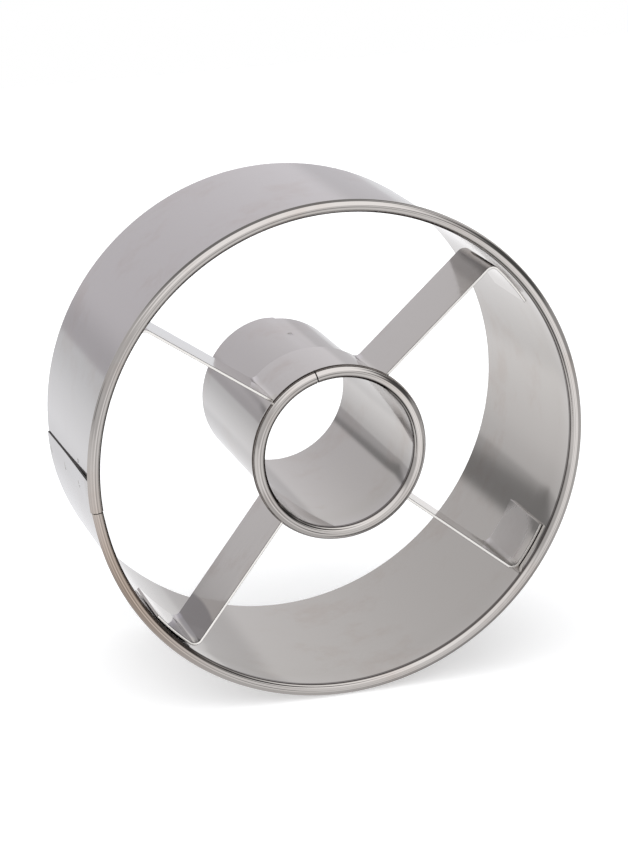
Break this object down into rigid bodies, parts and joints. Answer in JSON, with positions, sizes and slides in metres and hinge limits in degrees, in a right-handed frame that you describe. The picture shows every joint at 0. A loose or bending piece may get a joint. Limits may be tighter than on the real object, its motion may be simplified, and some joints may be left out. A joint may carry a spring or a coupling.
{
  "type": "doughnut cutter",
  "caption": "Sheet-metal doughnut cutter: a round cutting ring with a rolled rim, and a concentric tube for the hole, held inside it by bent strips set on edge.",
  "frame": {"origin": "on the axis of both rings, in the plane of their cutting edges", "axes": "+Z along the axis from the cutting edges to the rolled rims, +Y to the middle of the upper bridge, +X to its right as seen from the rims"},
  "size_m": [0.094, 0.094, 0.043],
  "materials": {
    "ring_steel": "satin",
    "tube_steel": "satin",
    "strip_steel": "satin"
  },
  "bodies": {
    "root": {"outer_ring": "ring_steel", "inner_tube": "tube_steel", "upper_bridge": "strip_steel", "lower_bridge": "strip_steel"}
  },
  "joints": []
}
